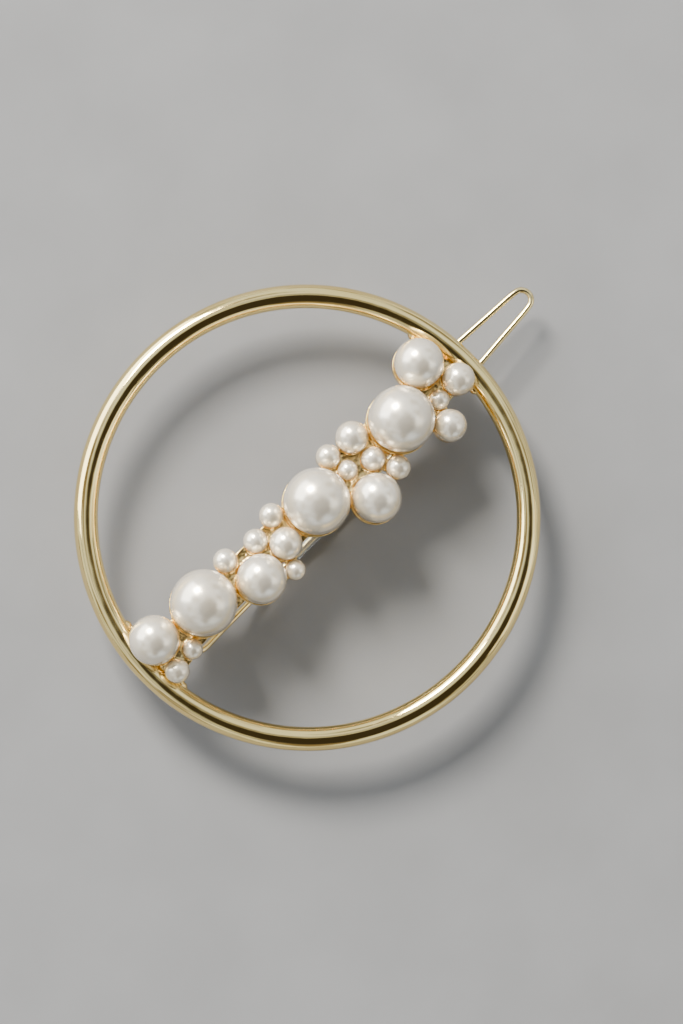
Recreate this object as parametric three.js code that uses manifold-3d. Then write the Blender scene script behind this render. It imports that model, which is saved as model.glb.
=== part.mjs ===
// Pearl hoop barrette: a round polished hoop crossed by a cast bar of pearls, with a spring wire
// clasp hinged under one end of the bar and latched on a post under the other.
//
// Millimetres, +Z up. The model is laid out about the middle of the hoop: the hoop lies in the
// XY plane, +X runs along the clasp to its free tip, and the pearls face +Z. At the end the whole
// part is stood on its lowest point, with the origin under the middle of its box.

import * as THREE from "three";
import { mergeVertices } from "three/addons/utils/BufferGeometryUtils.js";
import Module from "manifold-3d";

const wasm = await Module();
wasm.setup();

// Hoop
const HOOP_OUTER_RADIUS = 28;
const HOOP_WIRE_RADIUS = 1.45;
const HOOP_SEGMENTS = 80;
const HOOP_SIDES = 12;

// Cast bar that carries the pearls
const BAR_BOTTOM = -0.6;
const BAR_TOP = 0.5;
const BAR_LOW_EDGE = -1.7;
const BAR_HIGH_EDGE = 3.0;
const BAR_END_RADIUS = 25; // the ends stop here, just inside the hoop
const FLARE_LENGTH = 5.5;
const FLARE_HIGH = 6.9; // how far each flared end spreads along the hoop
const FLARE_LOW = -3.6;
const SEAT_TOP = 0.9;
const SEAT_SEGMENTS = 16;
const SEAT_TAPER = 0.1;
const FLARE_LEAN = 1;
const OUTLINE_SEGMENTS = 8;
const CUT_MARGIN = 1;
const SEAT_RIM = 0.15; // how far a large pearl's seat shows around it
const SMALL_SEAT_SHARE = 0.9; // seat radius of a small pearl, as a share of the pearl's
const LARGE_PEARL = 6;
const WEB_WIDTH = 1.5;

// Pearls: how deep each beds in its seat, and the glue line around it
const BED_DEPTH = 0.2;
const GLUE_LINE = 0.06;

// Stamped base under the bar, rolled into a hinge tube at one end
const BASE_TOP = -0.62;
const BASE_THICKNESS = 0.5;
const BASE_HALF_WIDTH = 1.6;
const BASE_END = 22.5;
const HINGE_X = -20.5;
const HINGE_OUTER_RADIUS = 0.93;
const HINGE_BORE_RADIUS = 0.52;
const HINGE_HALF_LENGTH = 1.5;
const HINGE_Z = BASE_TOP - HINGE_OUTER_RADIUS;

// Catch post riveted through the base, with a cross head between the two legs of the wire
const CATCH_X = 20.5;
const CATCH_NECK_RADIUS = 0.55;
const CATCH_HOLE_RADIUS = 0.65;
const CATCH_HEAD_TOP = -3.4;
const CATCH_HEAD_THICKNESS = 0.45;
const CATCH_HEAD_HALF_WIDTH = 1.55;
const CATCH_HEAD_LENGTH = 1.5;

// Clasp wire. One leg from its hinge end to the round tip: distance along the bar, half the
// spread of the two legs, and height. The other leg mirrors it.
const WIRE_RADIUS = 0.375;
const WIRE_SIDES = 8;
const WIRE_STEPS = 140;
const TIP_TURNS = 6;
const ELBOW_SWELL = 1.04;
const ELBOW_MERIDIANS = 12;
const ELBOW_RINGS = 8;
const TUBE_SEGMENTS = 16;
const NECK_SEGMENTS = 12;
const HEAD_SEGMENTS = 6;
const WIRE_TIP_RADIUS = 1.2;
const WIRE_TIP_X = 37.3;
const WIRE_TIP_Z = -2.5;
const WIRE_PIN_INNER_END = 0.4;
const BOW_Z = -6.2; // lowest run of the legs, which leaves the gap for the hair
const LEG_POINTS = [
  [HINGE_X, 2.2, HINGE_Z],
  [-17, 2.2, -3.5],
  [-12, 2.2, -5.4],
  [-6, 2.2, BOW_Z],
  [0, 2.2, BOW_Z],
  [6, 2.2, BOW_Z],
  [13, 2.15, -5.0],
  [CATCH_X, 2.05, -2.85],
  [27, 1.9, -2.35],
  [32.5, 1.55, -2.35],
];

// Clear soft sleeves on the legs, which keep the hair from slipping
const SLEEVE_START = -4.6;
const SLEEVE_END = 6.4;
const SLEEVE_OUTER_RADIUS = 0.65;
const SLEEVE_BORE_RADIUS = 0.48;
const SLEEVE_STEPS = 10;

// Pearl layout: bead diameter, place along the bar and across it.
const PEARLS = [
  { diameter: 6, x: 22.1, y: 3.4 },
  { diameter: 4, x: 24.2, y: -1.3 },
  { diameter: 2.5, x: 20.9, y: -1.4 },
  { diameter: 8, x: 15.7, y: 0.2 },
  { diameter: 4, x: 19.5, y: -4.5 },
  { diameter: 4, x: 10.2, y: 2.9 },
  { diameter: 3, x: 6.6, y: 3.3 },
  { diameter: 2.5, x: 7.1, y: 0.5 },
  { diameter: 3, x: 10.2, y: -0.7 },
  { diameter: 3, x: 11.6, y: -3.6 },
  { diameter: 8, x: 1.6, y: 0.5 },
  { diameter: 6, x: 7.0, y: -4.3 },
  { diameter: 3, x: -3.2, y: 3.2 },
  { diameter: 3, x: -6.7, y: 2.4 },
  { diameter: 4, x: -4.4, y: -0.4 },
  { diameter: 3, x: -10.9, y: 3.3 },
  { diameter: 6, x: -9.5, y: -1.3 },
  { diameter: 2.5, x: -5.8, y: -3.4 },
  { diameter: 8, x: -16.4, y: 1.6 },
  { diameter: 6, x: -23.6, y: 2.7 },
  { diameter: 2.5, x: -21.1, y: -1.3 },
  { diameter: 3, x: -24.2, y: -1.8 },
];

// Seats that stand clear of the bar are tied to a neighbour's seat by a web of metal. Each pair
// is two pearl numbers, counted from 1.
const WEBS = [
  [1, 2],
  [2, 3],
  [3, 5],
  [4, 5],
  [9, 10],
  [4, 10],
  [11, 12],
  [9, 12],
  [15, 18],
  [17, 18],
  [20, 22],
  [21, 22],
];

const paleGold = new THREE.MeshStandardMaterial({ color: 0xd9c48a, roughness: 0.18, metalness: 1 });
const barGold = new THREE.MeshStandardMaterial({ color: 0xdcbb74, roughness: 0.3, metalness: 1 });
const wireGold = new THREE.MeshStandardMaterial({ color: 0xd8c07c, roughness: 0.2, metalness: 1 });
const nacre = new THREE.MeshStandardMaterial({ color: 0xf1e9dc, roughness: 0.3, metalness: 0 });
const clearSoft = new THREE.MeshStandardMaterial({ color: 0xe9ecea, roughness: 0.35, metalness: 0 });

// --- Solids: joining and cutting closed meshes ---

function toSolid(geometry) {
  const plain = geometry.clone();
  plain.deleteAttribute("normal");
  plain.deleteAttribute("uv");
  const merged = mergeVertices(plain);
  return new wasm.Manifold(
    new wasm.Mesh({
      numProp: 3,
      vertProperties: merged.getAttribute("position").array,
      triVerts: new Uint32Array(merged.index.array),
    }),
  );
}

function toGeometry(solid) {
  const mesh = solid.getMesh();
  const geometry = new THREE.BufferGeometry();
  geometry.setAttribute("position", new THREE.BufferAttribute(mesh.vertProperties, 3));
  geometry.setIndex(new THREE.BufferAttribute(mesh.triVerts, 1));
  geometry.computeVertexNormals();
  return geometry;
}

function join(geometries) {
  return geometries.map(toSolid).reduce((whole, piece) => whole.add(piece));
}

function namedMesh(name, geometry, material) {
  const mesh = new THREE.Mesh(geometry, material);
  mesh.name = name;
  return mesh;
}

// --- Shapes used by more than one piece ---

// An upright cylinder or cone between two heights.
function uprightRound(x, y, bottom, top, bottomRadius, topRadius, segments) {
  const geometry = new THREE.CylinderGeometry(topRadius, bottomRadius, top - bottom, segments);
  return geometry.rotateX(Math.PI / 2).translate(x, y, (top + bottom) / 2);
}

// A flat outline given a thickness between two heights.
function slab(outline, bottom, top, curveSegments) {
  const options = { depth: top - bottom, bevelEnabled: false, curveSegments };
  return new THREE.ExtrudeGeometry(outline, options).translate(0, 0, bottom);
}

// A round rod or tube swept along a curve.
function sweep(path, radius, boreRadius, steps) {
  const section = new THREE.Shape().absarc(0, 0, radius, 0, 2 * Math.PI);
  if (boreRadius > 0) {
    section.holes.push(new THREE.Path().absarc(0, 0, boreRadius, 0, 2 * Math.PI, true));
  }
  return new THREE.ExtrudeGeometry(section, {
    steps,
    curveSegments: WIRE_SIDES / 2,
    bevelEnabled: false,
    extrudePath: path,
  });
}

// --- Pearls ---

function pearlHeight(pearl) {
  return SEAT_TOP - BED_DEPTH + pearl.diameter / 2;
}

// Larger balls take more facets: meridians and rings for each size of pearl.
function pearlFacets(diameter) {
  if (diameter < LARGE_PEARL) return [12, 8];
  return diameter > LARGE_PEARL ? [20, 12] : [16, 10];
}

function pearlBall(pearl, extraRadius) {
  const [meridians, rings] = pearlFacets(pearl.diameter);
  const ball = new THREE.SphereGeometry(pearl.diameter / 2 + extraRadius, meridians, rings);
  return ball.rotateX(Math.PI / 2);
}

function makePearl(pearl, index) {
  const name = "pearl_" + String(index + 1).padStart(2, "0");
  const mesh = namedMesh(name, pearlBall(pearl, 0), nacre);
  mesh.position.set(pearl.x, pearl.y, pearlHeight(pearl));
  return mesh;
}

// --- Hoop ---

function makeHoop() {
  const middleRadius = HOOP_OUTER_RADIUS - HOOP_WIRE_RADIUS;
  const ring = new THREE.TorusGeometry(middleRadius, HOOP_WIRE_RADIUS, HOOP_SIDES, HOOP_SEGMENTS);
  return namedMesh("hoop", ring, paleGold);
}

// --- Cast bar with its pearl seats ---

// Straight bar whose ends flare out in hollow curves to meet the hoop.
function barOutline() {
  const highAngle = Math.asin(FLARE_HIGH / BAR_END_RADIUS);
  const lowAngle = Math.asin(FLARE_LOW / BAR_END_RADIUS);
  const endHighX = BAR_END_RADIUS * Math.cos(highAngle);
  const endLowX = BAR_END_RADIUS * Math.cos(lowAngle);
  const outline = new THREE.Shape();
  outline.absarc(0, 0, BAR_END_RADIUS, lowAngle, highAngle);
  outline.quadraticCurveTo(endHighX - FLARE_LEAN, BAR_HIGH_EDGE, endHighX - FLARE_LENGTH, BAR_HIGH_EDGE);
  outline.lineTo(FLARE_LENGTH - endHighX, BAR_HIGH_EDGE);
  outline.quadraticCurveTo(FLARE_LEAN - endHighX, BAR_HIGH_EDGE, -endHighX, FLARE_HIGH);
  outline.absarc(0, 0, BAR_END_RADIUS, Math.PI - highAngle, Math.PI - lowAngle);
  outline.quadraticCurveTo(FLARE_LEAN - endLowX, BAR_LOW_EDGE, FLARE_LENGTH - endLowX, BAR_LOW_EDGE);
  outline.lineTo(endLowX - FLARE_LENGTH, BAR_LOW_EDGE);
  outline.quadraticCurveTo(endLowX - FLARE_LEAN, BAR_LOW_EDGE, endLowX, FLARE_LOW);
  return outline;
}

function seatRadius(pearl) {
  const radius = pearl.diameter / 2;
  return pearl.diameter >= LARGE_PEARL ? radius + SEAT_RIM : radius * SMALL_SEAT_SHARE;
}

function seat(pearl) {
  const radius = seatRadius(pearl);
  return uprightRound(pearl.x, pearl.y, BAR_BOTTOM, SEAT_TOP, radius, radius - SEAT_TAPER, SEAT_SEGMENTS);
}

function web([first, second]) {
  const from = PEARLS[first - 1];
  const to = PEARLS[second - 1];
  const length = Math.hypot(to.x - from.x, to.y - from.y);
  const beam = new THREE.BoxGeometry(length, WEB_WIDTH, BAR_TOP - BAR_BOTTOM);
  beam.rotateZ(Math.atan2(to.y - from.y, to.x - from.x));
  return beam.translate((from.x + to.x) / 2, (from.y + to.y) / 2, (BAR_TOP + BAR_BOTTOM) / 2);
}

function makeBar() {
  const strip = slab(barOutline(), BAR_BOTTOM, BAR_TOP, OUTLINE_SEGMENTS);
  const metal = join([strip, ...PEARLS.map(seat), ...WEBS.map(web)]);
  const insideHoop = toSolid(
    uprightRound(
      0, 0, BAR_BOTTOM - CUT_MARGIN, SEAT_TOP + CUT_MARGIN,
      BAR_END_RADIUS, BAR_END_RADIUS, HOOP_SEGMENTS,
    ),
  );
  const beds = PEARLS.map((pearl) =>
    toSolid(pearlBall(pearl, GLUE_LINE).translate(pearl.x, pearl.y, pearlHeight(pearl))),
  );
  const bedded = beds.reduce((whole, bed) => whole.subtract(bed), metal.intersect(insideHoop));
  return namedMesh("pearl_bar", toGeometry(bedded), barGold);
}

// --- Clasp base and catch ---

function baseOutline() {
  const outline = new THREE.Shape();
  outline.moveTo(HINGE_X, -BASE_HALF_WIDTH);
  outline.lineTo(BASE_END - BASE_HALF_WIDTH, -BASE_HALF_WIDTH);
  outline.absarc(BASE_END - BASE_HALF_WIDTH, 0, BASE_HALF_WIDTH, -Math.PI / 2, Math.PI / 2);
  outline.lineTo(HINGE_X, BASE_HALF_WIDTH);
  return outline;
}

// Short tube lying across the bar, open at both ends for the bent ends of the wire.
function hingeTube() {
  const wall = [
    new THREE.Vector2(HINGE_BORE_RADIUS, -HINGE_HALF_LENGTH),
    new THREE.Vector2(HINGE_OUTER_RADIUS, -HINGE_HALF_LENGTH),
    new THREE.Vector2(HINGE_OUTER_RADIUS, HINGE_HALF_LENGTH),
    new THREE.Vector2(HINGE_BORE_RADIUS, HINGE_HALF_LENGTH),
    new THREE.Vector2(HINGE_BORE_RADIUS, -HINGE_HALF_LENGTH),
  ];
  return new THREE.LatheGeometry(wall, TUBE_SEGMENTS).translate(HINGE_X, 0, HINGE_Z);
}

function makeClaspBase() {
  const bottom = BASE_TOP - BASE_THICKNESS;
  const strip = toSolid(slab(baseOutline(), bottom, BASE_TOP, OUTLINE_SEGMENTS));
  const rivetHole = toSolid(
    uprightRound(
      CATCH_X, 0, bottom - CUT_MARGIN, BASE_TOP + CUT_MARGIN,
      CATCH_HOLE_RADIUS, CATCH_HOLE_RADIUS, NECK_SEGMENTS,
    ),
  );
  const roomInTube = toSolid(
    new THREE.CylinderGeometry(HINGE_BORE_RADIUS, HINGE_BORE_RADIUS, 4 * HINGE_HALF_LENGTH, TUBE_SEGMENTS)
      .translate(HINGE_X, 0, HINGE_Z),
  );
  const whole = strip.subtract(rivetHole).add(toSolid(hingeTube())).subtract(roomInTube);
  return namedMesh("clasp_base", toGeometry(whole), wireGold);
}

function makeCatchPost() {
  const neck = uprightRound(
    CATCH_X, 0, CATCH_HEAD_TOP - CATCH_HEAD_THICKNESS / 2, BASE_TOP,
    CATCH_NECK_RADIUS, CATCH_NECK_RADIUS, NECK_SEGMENTS,
  );
  const halfLength = CATCH_HEAD_LENGTH / 2;
  const straight = CATCH_HEAD_HALF_WIDTH - halfLength;
  const head = new THREE.Shape();
  head.absarc(CATCH_X, straight, halfLength, 0, Math.PI);
  head.absarc(CATCH_X, -straight, halfLength, Math.PI, 2 * Math.PI);
  const headSlab = slab(head, CATCH_HEAD_TOP - CATCH_HEAD_THICKNESS, CATCH_HEAD_TOP, HEAD_SEGMENTS);
  return namedMesh("catch_post", toGeometry(join([neck, headSlab])), wireGold);
}

// --- Clasp wire and its sleeves ---

function legPoint([x, halfSpread, z], side) {
  return new THREE.Vector3(x, side * halfSpread, z);
}

function tipPoint(angle) {
  const x = WIRE_TIP_X + WIRE_TIP_RADIUS * Math.cos(angle);
  return new THREE.Vector3(x, WIRE_TIP_RADIUS * Math.sin(angle), WIRE_TIP_Z);
}

// Out along one leg, round the tip and back along the other.
function wirePath() {
  const points = LEG_POINTS.map((point) => legPoint(point, 1));
  for (let turn = 0; turn <= TIP_TURNS; turn++) {
    points.push(tipPoint(Math.PI * (0.5 - turn / TIP_TURNS)));
  }
  points.push(...LEG_POINTS.toReversed().map((point) => legPoint(point, -1)));
  return new THREE.CatmullRomCurve3(points);
}

// A bent-in end of the wire, which turns in the hinge tube, with the rounded elbow before it.
function hingePin(side) {
  const outer = LEG_POINTS[0][1];
  const length = outer - WIRE_PIN_INNER_END;
  const pin = new THREE.CylinderGeometry(WIRE_RADIUS, WIRE_RADIUS, length, WIRE_SIDES);
  pin.translate(HINGE_X, side * (WIRE_PIN_INNER_END + length / 2), HINGE_Z);
  const elbow = new THREE.SphereGeometry(WIRE_RADIUS * ELBOW_SWELL, ELBOW_MERIDIANS, ELBOW_RINGS);
  elbow.translate(HINGE_X, side * outer, HINGE_Z);
  return [pin, elbow];
}

function makeClaspWire() {
  const rod = sweep(wirePath(), WIRE_RADIUS, 0, WIRE_STEPS);
  const whole = join([rod, ...hingePin(1), ...hingePin(-1)]);
  return namedMesh("clasp_wire", toGeometry(whole), wireGold);
}

// The stretch of one leg that a sleeve covers runs level, side by side with the other leg.
function makeSleeve(name, side) {
  const covered = wirePath()
    .getSpacedPoints(WIRE_STEPS)
    .filter(({ x, y }) => y > 0 && x > SLEEVE_START && x < SLEEVE_END)
    .map(({ x, y, z }) => new THREE.Vector3(x, side * y, z));
  const path = new THREE.CatmullRomCurve3(covered);
  const tube = sweep(path, SLEEVE_OUTER_RADIUS, SLEEVE_BORE_RADIUS, SLEEVE_STEPS);
  return namedMesh(name, tube, clearSoft);
}

// --- Assembly ---

const ornament = new THREE.Group();
ornament.add(makeHoop(), makeBar(), ...PEARLS.map(makePearl), makeClaspBase(), makeCatchPost());

const clasp = new THREE.Group();
clasp.add(makeClaspWire(), makeSleeve("grip_sleeve_left", 1), makeSleeve("grip_sleeve_right", -1));

const barrette = new THREE.Group();
barrette.add(ornament, clasp);

const box = new THREE.Box3().setFromObject(barrette);
const middle = box.getCenter(new THREE.Vector3());
barrette.position.set(-middle.x, -middle.y, -box.min.z);

const group = new THREE.Group();
group.add(barrette);

export default group;
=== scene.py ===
"""Looks of the pearl hoop barrette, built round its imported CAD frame.

Shapes are worked out in millimetres about the middle of the hoop, with +X towards the clasp's
free tip and +Z out of the pearl face, and are then carried into the frame's metres.
"""

import math

import bmesh
import bpy
from mathutils import Matrix, Vector, noise


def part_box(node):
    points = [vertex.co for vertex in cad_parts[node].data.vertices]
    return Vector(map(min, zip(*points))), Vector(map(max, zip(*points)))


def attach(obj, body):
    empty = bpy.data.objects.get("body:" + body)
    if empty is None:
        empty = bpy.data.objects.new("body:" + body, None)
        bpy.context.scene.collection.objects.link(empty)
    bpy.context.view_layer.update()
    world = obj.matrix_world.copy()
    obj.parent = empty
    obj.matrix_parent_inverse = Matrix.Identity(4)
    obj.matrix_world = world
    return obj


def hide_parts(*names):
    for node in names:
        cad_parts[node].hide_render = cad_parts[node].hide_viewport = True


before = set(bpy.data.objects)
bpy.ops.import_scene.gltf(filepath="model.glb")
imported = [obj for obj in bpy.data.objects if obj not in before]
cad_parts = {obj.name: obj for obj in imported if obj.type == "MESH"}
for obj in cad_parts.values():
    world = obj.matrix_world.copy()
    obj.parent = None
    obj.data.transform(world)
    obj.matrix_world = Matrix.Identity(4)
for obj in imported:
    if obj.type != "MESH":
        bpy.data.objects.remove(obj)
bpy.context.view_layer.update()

MM = 0.001

# --- Sizes, in millimetres unless a note says otherwise ---

HOOP_LOW, HOOP_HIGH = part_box("hoop")
HUB = (HOOP_LOW + HOOP_HIGH) / 2
HOOP_OUTER_RADIUS = (HOOP_HIGH.y - HOOP_LOW.y) / 2 / MM
TUBE_RADIUS = (HOOP_HIGH.z - HOOP_LOW.z) / 2 / MM
HOOP_RADIUS = HOOP_OUTER_RADIUS - TUBE_RADIUS
HOOP_STEPS = 480
HOOP_SIDES = 40
HOOP_SWELL = 0.008  # how far the tube's radius varies, as a share of it
HOOP_SWELL_WAVES = 1.7
HOOP_SWELL_SEED = Vector((3.1, 0.4, 7.7))
HOOP_DRIFT = 0.03  # how far the tube wanders in and out
HOOP_DRIFT_WAVES = 1.3
HOOP_DRIFT_SEED = Vector((9.2, 5.0, 1.5))

BAR_BOTTOM = -0.6
BAR_TOP = 0.5
BAR_LOW_EDGE = -1.7
BAR_HIGH_EDGE = 3.0
FLARE_LENGTH = 5.5
FLARE_LEAN_LENGTH = 1.6
FLARE_LEAN_SHARE = 0.12
FLARE_STEPS = 16
FLARE_HIGH = 7.4
FLARE_LOW = -4.1
SEAT_TOP = 0.9
SEAT_RIM_HEIGHT = 0.1
SEAT_RIM_RADIUS = 0.14
LARGE_PEARL = 6
SAME_SIZE = 0.1  # slack when a pearl's width is compared
LARGE_SEAT_MARGIN = -0.02
SMALL_SEAT_SHARE = 0.9
WEB_WIDTH = 1.5
FILLET_HALF_ANGLE = 0.30
FILLET_INSET = 0.6
FILLET_RADIUS = 0.85
SOLDER_RADIUS = 0.7
SOLDER_THICKNESS = 0.55
SOLDER_INSET = 1.2
SOLDER_SHARE = 0.85  # how far out along the flare the lump sits
BAR_VOXEL = 0.1
BAR_SMOOTHING = 6
PIT_DEPTH = 0.05
PIT_LEAST_SLOPE = 0.2  # only skin that faces up at least this much is pitted
PIT_WIDE_WAVES = 1.9
PIT_WIDE_SHARE = 0.6
PIT_NARROW_WAVES = 4.7
PIT_NARROW_SHARE = 0.4

FINE_PEARL_RADIUS = 2.5  # pearls larger than this get one more subdivision
PEARL_SUBDIVISIONS = 4
PEARL_SHRINK = 0.997
PEARL_DENT = 0.006
PEARL_DENT_WAVES = 1.4
PEARL_SEED_SPREAD = 0.37

BASE_TOP = -0.6
BASE_THICKNESS = 0.5
BASE_HALF_WIDTH = 1.6
BASE_END = 22.5
HINGE_X = -20.5
HINGE_OUTER_RADIUS = 0.93
HINGE_HALF_LENGTH = 1.5
HINGE_TOP = -0.62
HINGE_Z = HINGE_TOP - HINGE_OUTER_RADIUS
HINGE_WALL_CUT = 0.02  # the wall is thinner than the strip by twice this, on its inner side
HINGE_ROLL_START = 90  # degrees, from straight along the strip
HINGE_ROLL_TURN = 300  # degrees
HINGE_ROLL_STEPS = 40
BASE_VOXEL = 0.06
BASE_SMOOTHING = 5
BASE_END_STEPS = 24

CATCH_X = 20.5
CATCH_NECK_RADIUS = 0.55
CATCH_COLLAR_RADIUS = 0.73
CATCH_COLLAR_BELOW = 0.25  # how far the collar stands out under the base
CATCH_COLLAR_DROP = 0.2  # how far under the base's upper face the collar begins
CATCH_NECK_OVERLAP = 0.2  # how far the neck runs into the head
CATCH_HEAD_TOP = -3.4
CATCH_HEAD_THICKNESS = 0.45
CATCH_HEAD_HALF_WIDTH = 1.55
CATCH_HEAD_HALF_LENGTH = 0.75
CATCH_HEAD_STEPS = 20
CATCH_VOXEL = 0.05
CATCH_SMOOTHING = 5

WIRE_RADIUS = 0.375
WIRE_SIDES = 20
WIRE_STEP = 0.25
WIRE_PIN_INNER_END = 0.4
WIRE_TIP_RADIUS = 1.2
WIRE_TIP_X = 37.3
WIRE_TIP_Z = -2.5
WIRE_TIP_STEPS = 6
BOW_Z = -6.2
ELBOW = 0.55
ELBOW_CUT = 0.29  # how far inside the square corner the bend passes, in parts of ELBOW
ELBOW_DROP_MIDDLE = 0.1
ELBOW_DROP_END = 0.3
LEG_POINTS = [
    (-17, 2.2, -3.5),
    (-12, 2.2, -5.4),
    (-6, 2.2, BOW_Z),
    (0, 2.2, BOW_Z),
    (6, 2.2, BOW_Z),
    (13, 2.15, -5.0),
    (CATCH_X, 2.05, -2.85),
    (27, 1.9, -2.35),
    (32.5, 1.55, -2.35),
]

SLEEVE_LOW, SLEEVE_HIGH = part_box("grip_sleeve_left")
SLEEVE_START = (SLEEVE_LOW.x - HUB.x) / MM
SLEEVE_END = (SLEEVE_HIGH.x - HUB.x) / MM
SLEEVE_OUTER_RADIUS = 0.65
SLEEVE_BORE_RADIUS = 0.42
SLEEVE_SIDES = 28
SLEEVE_LIP_STEPS = 6

# Pearl pairs whose seats are tied by a web of metal, counted from 1.
WEBS = [
    (1, 2), (2, 3), (3, 5), (4, 5), (9, 10), (4, 10),
    (11, 12), (9, 12), (15, 18), (17, 18), (20, 22), (21, 22),
]

CAMERA_DISTANCE = 450
CAMERA_TILT = math.radians(6)
CAMERA_ROLL = math.radians(45.5)
CAMERA_AIM = (4.0, 0.55)  # where the middle of the view falls, right of and above the hoop's middle
CAMERA_LENS = 132.3

# The dim part of the sky: its direction (right, up, towards the camera) and its half angles.
DIM_PATCH_AIM = (0.28, -0.34, 0.9)
DIM_PATCH_INNER = math.radians(26)
DIM_PATCH_OUTER = math.radians(40)
DIM_COLOUR = (0.035, 0.03, 0.022)
SKY_COLOUR = (0.82, 0.90, 1.0)
SKY_STRENGTH = 1.3

# Patches of duller sky, which break up what the polished metal reflects.
HAZE_COLOUR = (0.22, 0.19, 0.14)
CLOUD_SCALE = 2.4
CLOUD_DETAIL = 2

# Soft lights: name, direction (right, up, towards the camera), distance, width and height in
# metres, power in watts, colour.
SOFTBOXES = [
    ("key", (-0.33, 0.68, 0.66), 1.1, 0.34, 0.34, 28, (1.0, 0.97, 0.92)),
    ("sky", (-0.72, 0.55, 0.42), 1.5, 1.7, 1.1, 34, (0.92, 0.95, 1.0)),
    ("fill", (0.9, -0.1, 0.45), 1.4, 0.8, 0.8, 1.5, (1.0, 0.96, 0.9)),
]

FLOOR_HALF_WIDTH = 3.0  # metres

# Noise scales of the materials, in waves to the metre.
GOLD_TONE_WAVES = 90
GOLD_RIPPLE_WAVES = 160
GOLD_POLISH_WAVES = 700
GOLD_GRAIN_WAVES = 5000
NACRE_TONE_WAVES = 260
NACRE_SKIN_WAVES = 450
NACRE_SATIN_WAVES = 1500
SILICONE_CLOUD_WAVES = 350
FLOOR_TONE_WAVES = 60


def pearl_names():
    return sorted(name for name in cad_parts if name.startswith("pearl_") and name != "pearl_bar")


def pearl_place(name):
    """Centre and radius of a pearl, in millimetres about the hoop's middle."""
    low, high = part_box(name)
    return ((low + high) / 2 - HUB) / MM, (high.z - low.z) / 2 / MM


PEARLS = {name: pearl_place(name) for name in pearl_names()}


# --- Mesh tools ---


def new_object(name, points, faces):
    """A smooth-shaded mesh object from points in millimetres about the hoop's middle."""
    mesh = bpy.data.meshes.new(name)
    mesh.from_pydata([tuple(p) for p in points], [], faces)
    return finish_mesh(name, mesh)


def finish_mesh(name, mesh):
    mesh.transform(Matrix.Translation(HUB) @ Matrix.Scale(MM, 4))
    mesh.polygons.foreach_set("use_smooth", [True] * len(mesh.polygons))
    mesh.update()
    obj = bpy.data.objects.new(name, mesh)
    bpy.context.scene.collection.objects.link(obj)
    return obj


def place(obj, body, material, slot, *nodes):
    """Dress a piece, set it on its body and let it stand for its CAD nodes."""
    obj.data.materials.append(material)
    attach(obj, body)
    if nodes:
        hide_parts(*nodes)
    return obj


def catmull(points, step):
    """Centripetal Catmull-Rom line through the points, sampled about every step."""
    pts = [Vector(p) for p in points]
    pts = [pts[0] * 2 - pts[1], *pts, pts[-1] * 2 - pts[-2]]
    line = []
    for p0, p1, p2, p3 in zip(pts, pts[1:], pts[2:], pts[3:]):
        t1 = max((p1 - p0).length, 1e-6) ** 0.5
        t2 = t1 + max((p2 - p1).length, 1e-6) ** 0.5
        t3 = t2 + max((p3 - p2).length, 1e-6) ** 0.5
        count = max(2, round((p2 - p1).length / step))
        for i in range(count):
            t = t1 + (t2 - t1) * i / count
            a1 = p0.lerp(p1, t / t1)
            a2 = p1.lerp(p2, (t - t1) / (t2 - t1))
            a3 = p2.lerp(p3, (t - t2) / (t3 - t2))
            b1 = a1.lerp(a2, t / t2)
            b2 = a2.lerp(a3, (t - t1) / (t3 - t1))
            line.append(b1.lerp(b2, (t - t1) / (t2 - t1)))
    line.append(pts[-2])
    return line


def ring_frames(path):
    """A pair of cross directions at each point of a path, carried along it without twist."""
    ends = [path[0], *path, path[-1]]
    tangents = [(b - a).normalized() for a, b in zip(ends, ends[2:])]
    side = tangents[0].orthogonal().normalized()
    frames = []
    for tangent in tangents:
        side = (side - tangent * side.dot(tangent)).normalized()
        frames.append((side, tangent.cross(side)))
    return frames


def circles(path, frames, radii, sides):
    """Points of a circle across each point of a path, in the cross directions given."""
    points = []
    for centre, (u, v), radius in zip(path, frames, radii):
        for k in range(sides):
            angle = 2 * math.pi * k / sides
            points.append(centre + (u * math.cos(angle) + v * math.sin(angle)) * radius)
    return points


def sweep(path, radii, sides):
    """Points and faces of a closed round rod along a path, one radius for each point."""
    points = circles(path, ring_frames(path), radii, sides)
    faces = []
    for i in range(len(path) - 1):
        for k in range(sides):
            a, b = i * sides + k, i * sides + (k + 1) % sides
            faces.append((a, b, b + sides, a + sides))
    last = (len(path) - 1) * sides
    faces.append(tuple(reversed(range(sides))))
    faces.append(tuple(range(last, last + sides)))
    return points, faces


def rounded_ends(path, radius, steps=4):
    """A path and its radii, its first and last three points giving way to small domes."""
    first = (path[1] - path[0]).normalized()
    last = (path[-1] - path[-2]).normalized()
    turns = [math.pi / 2 * (i + 0.5) / steps for i in range(steps)]
    heads = [path[0] + first * radius * 0.5 * (1 - math.sin(t)) for t in turns]
    tails = [path[-1] - last * radius * 0.5 * (1 - math.sin(t)) for t in reversed(turns)]
    widths = [radius * (1 - 0.5 * math.cos(t)) for t in turns]
    middle = path[3:-3]
    return heads + middle + tails, widths + [radius] * len(middle) + widths[::-1]


def prism(outline, bottom, top):
    """Points and faces of a flat outline given a thickness."""
    n = len(outline)
    points = [(x, y, z) for z in (bottom, top) for x, y in outline]
    faces = [tuple(reversed(range(n))), tuple(range(n, 2 * n))]
    faces += [(i, (i + 1) % n, n + (i + 1) % n, n + i) for i in range(n)]
    return points, faces


def arc(centre_x, centre_y, radius, start, end, steps):
    """Points of a flat arc, both of its ends included."""
    turns = [start + (end - start) * i / steps for i in range(steps + 1)]
    return [(centre_x + radius * math.cos(t), centre_y + radius * math.sin(t)) for t in turns]


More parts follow.
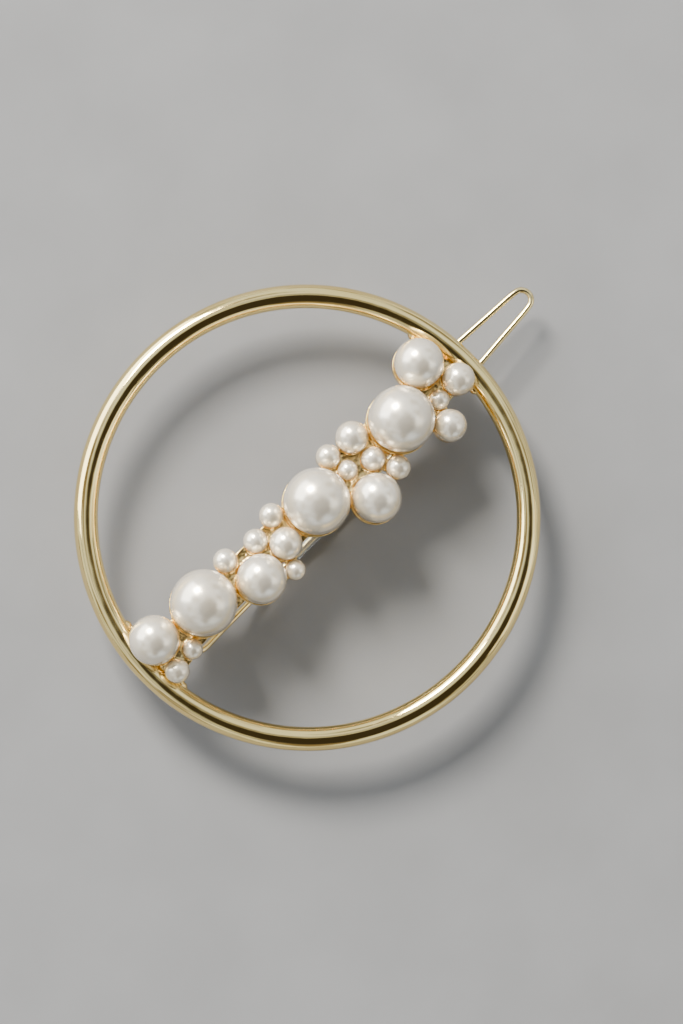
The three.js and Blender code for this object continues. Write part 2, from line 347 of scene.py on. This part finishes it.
def disc(x, y, radius, bottom, top, steps=48):
    """A short upright cylinder."""
    return prism(arc(x, y, radius, 0, 2 * math.pi, steps)[:-1], bottom, top)


def ring(x, y, z, radius, thickness, start=0.0, end=2 * math.pi, steps=64):
    """A round rod bent to a level ring or an arc of one, its two ends meeting if it closes."""
    turns = [start + (end - start) * i / steps for i in range(steps + 1)]
    path = [Vector((x + radius * math.cos(t), y + radius * math.sin(t), z)) for t in turns]
    return sweep(path, [thickness] * len(path), 16)


def beam(a, b, width, bottom, top):
    """A straight bar of flat section from a to b."""
    along = (Vector(b) - Vector(a)).normalized()
    across = Vector((-along.y, along.x)) * width / 2
    corners = [Vector(a) - across, Vector(b) - across, Vector(b) + across, Vector(a) + across]
    return prism([(c.x, c.y) for c in corners], bottom, top)


def fuse(name, parts, voxel, smoothing):
    """One smooth skin, as a casting has, round closed shapes that overlap."""
    points, faces = [], []
    for part_points, part_faces in parts:
        base = len(points)
        points += [tuple(p) for p in part_points]
        faces += [tuple(i + base for i in f) for f in part_faces]
    mesh = bpy.data.meshes.new(name + "_parts")
    mesh.from_pydata(points, [], faces)
    rough = bpy.data.objects.new(name + "_parts", mesh)
    bpy.context.scene.collection.objects.link(rough)
    remesh = rough.modifiers.new("skin", "REMESH")
    remesh.mode = "VOXEL"
    remesh.voxel_size = voxel
    smooth = rough.modifiers.new("smooth", "SMOOTH")
    smooth.factor = 0.5
    smooth.iterations = smoothing
    evaluated = rough.evaluated_get(bpy.context.evaluated_depsgraph_get())
    skin = bpy.data.meshes.new_from_object(evaluated)
    skin.name = name
    bpy.data.objects.remove(rough)
    return skin


# --- Materials ---


def shader(name):
    """A new material with its nodes, its links and its one shader."""
    material = bpy.data.materials.new(name)
    material.use_nodes = True
    nodes = material.node_tree.nodes
    return material, nodes, material.node_tree.links, nodes["Principled BSDF"]


def noise_node(nodes, links, scale, detail, roughness=0.5):
    """Noise that sits in the object, scale in waves to the metre."""
    place_node = nodes.new("ShaderNodeTexCoord")
    made = nodes.new("ShaderNodeTexNoise")
    made.inputs["Scale"].default_value = scale
    made.inputs["Detail"].default_value = detail
    made.inputs["Roughness"].default_value = roughness
    links.new(place_node.outputs["Object"], made.inputs["Vector"])
    return made


def ramp_node(nodes, links, source, stops):
    """Colour that runs from the first stop to the second as the source rises."""
    ramp = nodes.new("ShaderNodeValToRGB")
    for element, (position, colour) in zip(ramp.color_ramp.elements, stops):
        element.position = position
        element.color = (*colour, 1)
    links.new(source, ramp.inputs["Fac"])
    return ramp.outputs["Color"]


def range_node(nodes, links, source, low, high):
    """Carries noise from about 0.3..0.7 to low..high."""
    made = nodes.new("ShaderNodeMapRange")
    made.inputs["From Min"].default_value = 0.3
    made.inputs["From Max"].default_value = 0.7
    made.inputs["To Min"].default_value = low
    made.inputs["To Max"].default_value = high
    links.new(source, made.inputs["Value"])
    return made.outputs["Result"]


def bump_node(nodes, links, height, strength, distance, under=None):
    bump = nodes.new("ShaderNodeBump")
    bump.inputs["Strength"].default_value = strength
    bump.inputs["Distance"].default_value = distance
    links.new(height, bump.inputs["Height"])
    if under is not None:
        links.new(under, bump.inputs["Normal"])
    return bump.outputs["Normal"]


def gold(name, pale, deep, roughness, ripple, grain):
    """Plated gold: slow shifts of tone and polish, a faint ripple and a fine grain."""
    material, nodes, links, principled = shader(name)
    principled.inputs["Metallic"].default_value = 1.0
    tone = noise_node(nodes, links, GOLD_TONE_WAVES, 3)
    colour = ramp_node(nodes, links, tone.outputs["Fac"], [(0.3, deep), (0.7, pale)])
    links.new(colour, principled.inputs["Base Color"])
    polish = noise_node(nodes, links, GOLD_POLISH_WAVES, 5, 0.6)
    low, high = roughness
    rough = range_node(nodes, links, polish.outputs["Fac"], low, high)
    links.new(rough, principled.inputs["Roughness"])
    wave = noise_node(nodes, links, GOLD_RIPPLE_WAVES, 2)
    rippled = bump_node(nodes, links, wave.outputs["Fac"], 1.0, ripple)
    fine = noise_node(nodes, links, GOLD_GRAIN_WAVES, 4)
    normal = bump_node(nodes, links, fine.outputs["Fac"], 0.35, grain, rippled)
    links.new(normal, principled.inputs["Normal"])
    return material


def nacre():
    """Imitation pearl: an ivory bead under a satin, faintly iridescent coat."""
    material, nodes, links, principled = shader("nacre")
    drift = noise_node(nodes, links, NACRE_TONE_WAVES, 3)
    stops = [(0.3, (0.97, 0.84, 0.63)), (0.7, (1.0, 0.91, 0.75))]
    links.new(ramp_node(nodes, links, drift.outputs["Fac"], stops), principled.inputs["Base Color"])
    satin = noise_node(nodes, links, NACRE_SATIN_WAVES, 3)
    rough = range_node(nodes, links, satin.outputs["Fac"], 0.23, 0.27)
    links.new(rough, principled.inputs["Roughness"])
    principled.inputs["Metallic"].default_value = 0.68
    principled.inputs["IOR"].default_value = 1.65
    principled.inputs["Coat Weight"].default_value = 0.5
    principled.inputs["Coat Roughness"].default_value = 0.12
    principled.inputs["Thin Film Thickness"].default_value = 380
    principled.inputs["Thin Film IOR"].default_value = 1.45
    skin = noise_node(nodes, links, NACRE_SKIN_WAVES, 1)
    links.new(bump_node(nodes, links, skin.outputs["Fac"], 0.2, 0.00001), principled.inputs["Normal"])
    return material


def clear_silicone():
    """Clear soft tube, slightly cloudy."""
    material, nodes, links, principled = shader("clear_silicone")
    principled.inputs["Base Color"].default_value = (0.93, 0.95, 0.94, 1)
    principled.inputs["Transmission Weight"].default_value = 0.9
    principled.inputs["IOR"].default_value = 1.41
    cloud = noise_node(nodes, links, SILICONE_CLOUD_WAVES, 2)
    rough = range_node(nodes, links, cloud.outputs["Fac"], 0.14, 0.24)
    links.new(rough, principled.inputs["Roughness"])
    return material


def floor_paint():
    """Plain matt grey with faint shifts of tone."""
    material, nodes, links, principled = shader("pale_floor")
    tone = noise_node(nodes, links, FLOOR_TONE_WAVES, 4)
    stops = [(0.35, (0.215, 0.212, 0.207)), (0.65, (0.235, 0.232, 0.227))]
    links.new(ramp_node(nodes, links, tone.outputs["Fac"], stops), principled.inputs["Base Color"])
    principled.inputs["Roughness"].default_value = 0.85
    return material


# --- Hoop ---


def make_hoop(material):
    """The hoop: a hand-polished round ring, a hair fuller and thinner here and there."""
    points, faces = [], []
    for i in range(HOOP_STEPS):
        turn = 2 * math.pi * i / HOOP_STEPS
        outward = Vector((math.cos(turn), math.sin(turn), 0))
        swell = noise.noise(outward * HOOP_SWELL_WAVES + HOOP_SWELL_SEED)
        thickness = TUBE_RADIUS * (1 - HOOP_SWELL + HOOP_SWELL * swell)
        drift = noise.noise(outward * HOOP_DRIFT_WAVES + HOOP_DRIFT_SEED) * HOOP_DRIFT
        for k in range(HOOP_SIDES):
            angle = 2 * math.pi * k / HOOP_SIDES
            reach = HOOP_RADIUS - HOOP_DRIFT + drift + thickness * math.cos(angle)
            points.append(outward * reach + Vector((0, 0, thickness * math.sin(angle))))
    for i in range(HOOP_STEPS):
        here = i * HOOP_SIDES
        there = (i + 1) % HOOP_STEPS * HOOP_SIDES
        for k in range(HOOP_SIDES):
            after = (k + 1) % HOOP_SIDES
            faces.append((here + k, there + k, there + after, here + after))
    hoop = new_object("polished_hoop", points, faces)
    return place(hoop, "ornament", material, "polished_gold", "hoop")


# --- Cast bar ---


def quadratic(a, b, c, steps):
    """A curve from a to c that leans towards b."""
    shares = [i / steps for i in range(steps + 1)]
    return [
        tuple((1 - t) ** 2 * p + 2 * t * (1 - t) * q + t * t * r for p, q, r in zip(a, b, c))
        for t in shares
    ]


def bar_outline():
    """Straight bar whose four corners flare out along the hoop in hollow curves."""
    outline = []
    corners = [
        (1, FLARE_HIGH, BAR_HIGH_EDGE),
        (-1, FLARE_HIGH, BAR_HIGH_EDGE),
        (-1, FLARE_LOW, BAR_LOW_EDGE),
        (1, FLARE_LOW, BAR_LOW_EDGE),
    ]
    for side, spread, edge in corners:
        end_x = side * math.sqrt(HOOP_RADIUS**2 - spread**2)
        start = (end_x, spread)
        lean = (end_x - side * FLARE_LEAN_LENGTH, edge + (spread - edge) * FLARE_LEAN_SHARE)
        stop = (end_x - side * FLARE_LENGTH, edge)
        curve = quadratic(start, lean, stop, FLARE_STEPS)
        outline += curve if side * spread > 0 else curve[::-1]
    return outline


def seat_radius(radius):
    """Radius of the seat under a pearl of the given radius."""
    if 2 * radius >= LARGE_PEARL - SAME_SIZE:
        return radius + LARGE_SEAT_MARGIN
    return radius * SMALL_SEAT_SHARE


def seat_parts():
    """A round seat with a low rolled rim under each pearl."""
    parts = []
    for centre, radius in PEARLS.values():
        reach = seat_radius(radius)
        parts.append(disc(centre.x, centre.y, reach, BAR_BOTTOM, SEAT_TOP))
        rim = reach - SEAT_RIM_RADIUS
        parts.append(ring(centre.x, centre.y, SEAT_TOP, rim, SEAT_RIM_RADIUS + SEAT_RIM_HEIGHT / 2))
    return parts


def web_parts():
    """Webs of metal between the seats of neighbouring pearls."""
    places = [centre for centre, _ in PEARLS.values()]
    ends = [(places[a - 1].xy, places[b - 1].xy) for a, b in WEBS]
    return [beam(a, b, WEB_WIDTH, BAR_BOTTOM, BAR_TOP) for a, b in ends]


def joint_parts():
    """Thin rods just under the hoop's inner side, so that the bar runs out onto it in a fillet."""
    parts = []
    for middle in (0, math.pi):
        start, end = middle - FILLET_HALF_ANGLE, middle + FILLET_HALF_ANGLE
        parts.append(ring(0, 0, 0, HOOP_RADIUS - FILLET_INSET, FILLET_RADIUS, start, end))
    return parts


def solder_parts():
    """A lump of solder where each flared corner of the bar meets the hoop."""
    reach = HOOP_RADIUS - SOLDER_INSET
    parts = []
    for spread in (SOLDER_SHARE * FLARE_HIGH, SOLDER_SHARE * FLARE_LOW):
        for side in (1, -1):
            x = side * math.sqrt(reach**2 - spread**2)
            parts.append(ring(x, spread, 0, SOLDER_RADIUS - SOLDER_THICKNESS, SOLDER_THICKNESS))
    return parts


def pit(mesh):
    """Shallow casting pits and unevenness on the bar's upper side."""
    normals = [vertex.normal.copy() for vertex in mesh.vertices]
    for vertex, normal in zip(mesh.vertices, normals):
        if normal.z < PIT_LEAST_SLOPE or vertex.co.xy.length > HOOP_RADIUS - TUBE_RADIUS:
            continue
        wide = noise.noise(vertex.co * PIT_WIDE_WAVES) * PIT_WIDE_SHARE
        narrow = noise.noise(vertex.co * PIT_NARROW_WAVES) * PIT_NARROW_SHARE
        vertex.co += normal * (wide + narrow) * PIT_DEPTH
    mesh.update()


def make_bar(material):
    """The cast bar, its strip, seats, webs and joints fused into one skin."""
    strip = prism(bar_outline(), BAR_BOTTOM, BAR_TOP)
    parts = [strip, *seat_parts(), *web_parts(), *joint_parts(), *solder_parts()]
    skin = fuse("cast_pearl_bar", parts, BAR_VOXEL, BAR_SMOOTHING)
    pit(skin)
    bar = finish_mesh("cast_pearl_bar", skin)
    return place(bar, "ornament", material, "cast_gold", "pearl_bar")


# --- Pearls ---


def make_pearl(name, material):
    """A bead that is a touch out of round, as dipped beads are."""
    centre, radius = PEARLS[name]
    bm = bmesh.new()
    subdivisions = PEARL_SUBDIVISIONS + (1 if radius > FINE_PEARL_RADIUS else 0)
    bmesh.ops.create_icosphere(bm, subdivisions=subdivisions, radius=1)
    seed = Vector((centre.x, centre.y, radius)) * PEARL_SEED_SPREAD
    for vertex in bm.verts:
        dent = noise.noise(vertex.co * PEARL_DENT_WAVES + seed) * PEARL_DENT
        vertex.co = vertex.co * radius * (PEARL_SHRINK + dent) + centre
    mesh = bpy.data.meshes.new(name)
    bm.to_mesh(mesh)
    bm.free()
    pearl = finish_mesh(name.replace("pearl", "pearl_bead"), mesh)
    return place(pearl, "ornament", material, "pearl", name)


# --- Clasp base and catch ---


def hinge_roll():
    """The end of the strip curled into a tube, its lip just short of closing."""
    middle = HINGE_OUTER_RADIUS - BASE_THICKNESS / 2 + HINGE_WALL_CUT
    half = BASE_THICKNESS / 2 - HINGE_WALL_CUT
    start = math.radians(HINGE_ROLL_START)
    end = math.radians(HINGE_ROLL_START + HINGE_ROLL_TURN)
    outer = arc(HINGE_X, HINGE_Z, middle + half, start, end, HINGE_ROLL_STEPS)
    inner = arc(HINGE_X, HINGE_Z, middle - half, start, end, HINGE_ROLL_STEPS)
    outline = outer + inner[::-1]
    points, faces = prism(outline, -HINGE_HALF_LENGTH, HINGE_HALF_LENGTH)
    return [(x, y, z) for x, z, y in points], [tuple(reversed(f)) for f in faces]


def make_base(material):
    """The stamped strip with its round end, curled into the hinge tube at the other."""
    end_x = BASE_END - BASE_HALF_WIDTH
    outline = [(HINGE_X, BASE_HALF_WIDTH), (HINGE_X, -BASE_HALF_WIDTH)]
    outline += arc(end_x, 0, BASE_HALF_WIDTH, -math.pi / 2, math.pi / 2, BASE_END_STEPS)
    strip = prism(outline, BASE_TOP - BASE_THICKNESS, BASE_TOP)
    skin = fuse("stamped_clasp_base", [strip, hinge_roll()], BASE_VOXEL, BASE_SMOOTHING)
    base = finish_mesh("stamped_clasp_base", skin)
    return place(base, "ornament", material, "clasp_gold", "clasp_base")


def make_catch(material):
    """The catch: a neck through the base, a riveted collar and a head that crosses the wire."""
    neck = disc(CATCH_X, 0, CATCH_NECK_RADIUS, CATCH_HEAD_TOP - CATCH_NECK_OVERLAP, BASE_TOP)
    collar_bottom = BASE_TOP - BASE_THICKNESS - CATCH_COLLAR_BELOW
    collar = disc(CATCH_X, 0, CATCH_COLLAR_RADIUS, collar_bottom, BASE_TOP - CATCH_COLLAR_DROP)
    straight = CATCH_HEAD_HALF_WIDTH - CATCH_HEAD_HALF_LENGTH
    half = CATCH_HEAD_HALF_LENGTH
    outline = arc(CATCH_X, straight, half, 0, math.pi, CATCH_HEAD_STEPS)
    outline += arc(CATCH_X, -straight, half, math.pi, 2 * math.pi, CATCH_HEAD_STEPS)
    head = prism(outline, CATCH_HEAD_TOP - CATCH_HEAD_THICKNESS, CATCH_HEAD_TOP)
    skin = fuse("riveted_catch_post", [neck, collar, head], CATCH_VOXEL, CATCH_SMOOTHING)
    catch = finish_mesh("riveted_catch_post", skin)
    return place(catch, "ornament", material, "clasp_gold", "catch_post")


# --- Clasp wire and sleeves ---


def leg_line(side):
    """The middle of one leg, from its bent-in end to just before the round tip."""
    knee = LEG_POINTS[0][1]
    cut = ELBOW_CUT * ELBOW
    start = [
        (HINGE_X, WIRE_PIN_INNER_END, HINGE_Z),
        (HINGE_X, knee - 2 * ELBOW, HINGE_Z),
        (HINGE_X, knee - ELBOW, HINGE_Z),
        (HINGE_X + cut, knee - cut, HINGE_Z - ELBOW_DROP_MIDDLE),
        (HINGE_X + ELBOW, knee, HINGE_Z - ELBOW_DROP_END),
    ]
    return [(x, side * y, z) for x, y, z in start + LEG_POINTS]


def wire_line():
    """The middle of the whole wire: out along one leg, round the tip and back along the other."""
    turns = [math.pi * i / WIRE_TIP_STEPS for i in range(WIRE_TIP_STEPS + 1)]
    tip = [
        (WIRE_TIP_X + WIRE_TIP_RADIUS * math.sin(t), WIRE_TIP_RADIUS * math.cos(t), WIRE_TIP_Z)
        for t in turns
    ]
    return catmull(leg_line(1) + tip + leg_line(-1)[::-1], WIRE_STEP)


def make_wire(material):
    """The clasp's one bent wire, a round rod with domed ends."""
    path, radii = rounded_ends(wire_line(), WIRE_RADIUS)
    wire = new_object("spring_wire_clasp", *sweep(path, radii, WIRE_SIDES))
    return place(wire, "clasp", material, "clasp_gold", "clasp_wire")


def tube_section(path, sides):
    """A soft tube along a path: outside, two rolled lips and the bore, closed on itself."""
    lip = (SLEEVE_OUTER_RADIUS - SLEEVE_BORE_RADIUS) / 2
    middle = SLEEVE_BORE_RADIUS + lip
    first = (path[1] - path[0]).normalized()
    last = (path[-1] - path[-2]).normalized()
    turns = [math.pi * i / SLEEVE_LIP_STEPS for i in range(1, SLEEVE_LIP_STEPS)]
    line, radii = list(path), [SLEEVE_OUTER_RADIUS] * len(path)
    line += [path[-1] + last * lip * math.sin(t) for t in turns]
    radii += [middle + lip * math.cos(t) for t in turns]
    line += path[::-1]
    radii += [SLEEVE_BORE_RADIUS] * len(path)
    line += [path[0] - first * lip * math.sin(t) for t in turns]
    radii += [middle - lip * math.cos(t) for t in turns]
    frames = ring_frames(path)
    carried = frames + [frames[-1]] * len(turns) + frames[::-1] + [frames[0]] * len(turns)
    points = circles(line, carried, radii, sides)
    faces = []
    for i in range(len(line)):
        j = (i + 1) % len(line)
        for k in range(sides):
            n = (k + 1) % sides
            faces.append((i * sides + k, i * sides + n, j * sides + n, j * sides + k))
    return points, faces


def make_sleeve(name, side, material):
    """The soft tube on one leg, between the ends that the frame gives it."""
    line = [p for p in wire_line() if p.y * side > 0 and SLEEVE_START < p.x < SLEEVE_END]
    if side < 0:
        line.reverse()
    sleeve = new_object("clear_" + name, *tube_section(line, SLEEVE_SIDES))
    return place(sleeve, "clasp", material, "clear_sleeve", name)


# --- Stage, light and camera ---


def make_floor():
    """A flat sheet at the height that the clasp rests on."""
    half = FLOOR_HALF_WIDTH
    mesh = bpy.data.meshes.new("floor")
    corners = [(-half, -half, 0), (half, -half, 0), (half, half, 0), (-half, half, 0)]
    mesh.from_pydata(corners, [], [(0, 1, 2, 3)])
    floor = bpy.data.objects.new("floor", mesh)
    bpy.context.scene.collection.objects.link(floor)
    mesh.materials.append(floor_paint())


def view_axes():
    """Right, up and towards-camera directions of the photograph's view, in the frame."""
    back = Vector((-math.sin(CAMERA_TILT), 0, math.cos(CAMERA_TILT)))
    along = Vector((math.cos(CAMERA_TILT), 0, math.sin(CAMERA_TILT)))
    across = back.cross(along)
    right = along * math.cos(CAMERA_ROLL) - across * math.sin(CAMERA_ROLL)
    up = along * math.sin(CAMERA_ROLL) + across * math.cos(CAMERA_ROLL)
    return right, up, back


def toward_view(amounts):
    """A unit direction from its parts to the right, up and towards the camera."""
    right, up, back = view_axes()
    return (right * amounts[0] + up * amounts[1] + back * amounts[2]).normalized()


def make_camera():
    """The camera, aimed near the hoop's middle from the photograph's viewing angle."""
    right, up, back = view_axes()
    data = bpy.data.cameras.new("camera")
    data.lens = CAMERA_LENS
    data.clip_start = 0.01
    data.clip_end = 20
    camera = bpy.data.objects.new("camera", data)
    bpy.context.scene.collection.objects.link(camera)
    aim = HUB + (right * CAMERA_AIM[0] + up * CAMERA_AIM[1]) * MM
    turn = Matrix((right, up, back)).transposed().to_4x4()
    camera.matrix_world = Matrix.Translation(aim + back * CAMERA_DISTANCE * MM) @ turn
    bpy.context.scene.camera = camera


def softbox(name, direction, distance, width, height, power, colour):
    """An area light that faces the hoop; direction is right, up and towards the camera."""
    out = toward_view(direction)
    data = bpy.data.lights.new(name, "AREA")
    data.shape = "RECTANGLE"
    data.size = width
    data.size_y = height
    data.energy = power
    data.color = colour
    light = bpy.data.objects.new(name, data)
    bpy.context.scene.collection.objects.link(light)
    turn = out.to_track_quat("Z", "Y").to_matrix().to_4x4()
    light.matrix_world = Matrix.Translation(HUB + out * distance) @ turn


def make_world():
    """A pale sky with a dim patch overhead, so that polished metal has something to reflect."""
    patch = toward_view(DIM_PATCH_AIM)
    world = bpy.data.worlds.new("studio")
    bpy.context.scene.world = world
    world.use_nodes = True
    nodes, links = world.node_tree.nodes, world.node_tree.links
    place_node = nodes.new("ShaderNodeTexCoord")
    toward = nodes.new("ShaderNodeVectorMath")
    toward.operation = "DOT_PRODUCT"
    toward.inputs[1].default_value = patch
    links.new(place_node.outputs["Generated"], toward.inputs[0])
    edge = nodes.new("ShaderNodeMapRange")
    edge.interpolation_type = "SMOOTHSTEP"
    edge.inputs["From Min"].default_value = math.cos(DIM_PATCH_OUTER)
    edge.inputs["From Max"].default_value = math.cos(DIM_PATCH_INNER)
    links.new(toward.outputs["Value"], edge.inputs["Value"])
    cloud = nodes.new("ShaderNodeTexNoise")
    cloud.inputs["Scale"].default_value = CLOUD_SCALE
    cloud.inputs["Detail"].default_value = CLOUD_DETAIL
    links.new(place_node.outputs["Generated"], cloud.inputs["Vector"])
    stops = [(0.45, SKY_COLOUR), (0.62, HAZE_COLOUR)]
    sky = ramp_node(nodes, links, cloud.outputs["Fac"], stops)
    mix = nodes.new("ShaderNodeMixRGB")
    mix.inputs["Color2"].default_value = (*DIM_COLOUR, 1)
    links.new(edge.outputs["Result"], mix.inputs["Fac"])
    links.new(sky, mix.inputs["Color1"])
    background = nodes["Background"]
    links.new(mix.outputs["Color"], background.inputs["Color"])
    background.inputs["Strength"].default_value = SKY_STRENGTH


def make_lights():
    for settings in SOFTBOXES:
        softbox(*settings)


def main():
    make_camera()
    make_world()
    make_lights()
    make_floor()
    hoop_gold = gold("hoop_gold", (1.0, 0.79, 0.34), (0.95, 0.71, 0.26), (0.06, 0.12), 0.0001, 0.000002)
    cast_gold = gold("cast_gold", (0.97, 0.73, 0.32), (0.88, 0.60, 0.21), (0.12, 0.26), 0.00006, 0.00001)
    wire_gold = gold("wire_gold", (1.0, 0.81, 0.39), (0.95, 0.73, 0.31), (0.09, 0.16), 0.00001, 0.000003)
    make_hoop(hoop_gold)
    make_bar(cast_gold)
    pearl_coat = nacre()
    for name in PEARLS:
        make_pearl(name, pearl_coat)
    make_base(wire_gold)
    make_catch(wire_gold)
    make_wire(wire_gold)
    silicone = clear_silicone()
    make_sleeve("grip_sleeve_left", 1, silicone)
    make_sleeve("grip_sleeve_right", -1, silicone)


main()
